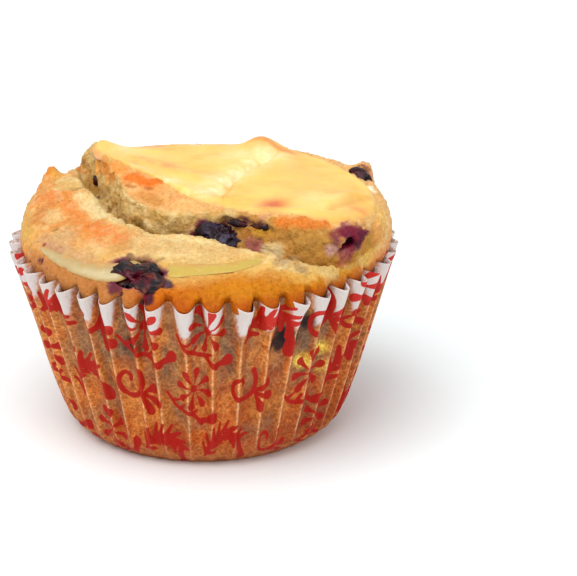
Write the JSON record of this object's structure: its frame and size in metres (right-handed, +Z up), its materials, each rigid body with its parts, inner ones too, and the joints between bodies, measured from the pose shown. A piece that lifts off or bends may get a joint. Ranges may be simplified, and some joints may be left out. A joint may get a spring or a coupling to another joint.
{
  "type": "muffin",
  "caption": "Large baked muffin with berries, a cheesecake layer and cheesecake spread on its cracked top, standing in a pleated paper case.",
  "frame": {"origin": "centre of the case's flat underside, on the surface it stands on", "axes": "+Z up, +X to the right and +Y away from the viewer when seen from the front, where the burst berry shows"},
  "size_m": [0.0948, 0.0947, 0.0635],
  "materials": {
    "paper": "thin pleated greaseproof paper, soaked brown where it touches the cake, white and dry along the rim, printed red",
    "crumb": "baked cake: golden crust with orange browning, pale torn crumb in the crack",
    "cheesecake": "smooth baked cream cheese, pale yellow with lightly browned patches",
    "berry": "cooked dark berry, wrinkled skin with burst purple flesh"
  },
  "bodies": {
    "root": {"paper_case": "paper", "crumb": "crumb", "cheesecake_spread": "cheesecake", "cheesecake_layer": "cheesecake", "berry_front": "berry", "berry_crack_left": "berry", "berry_crack_right": "berry", "berry_right": "berry", "berry_back": "berry", "berry_left": "berry", "berry_side_left": "berry", "berry_side_middle": "berry"}
  },
  "joints": []
}
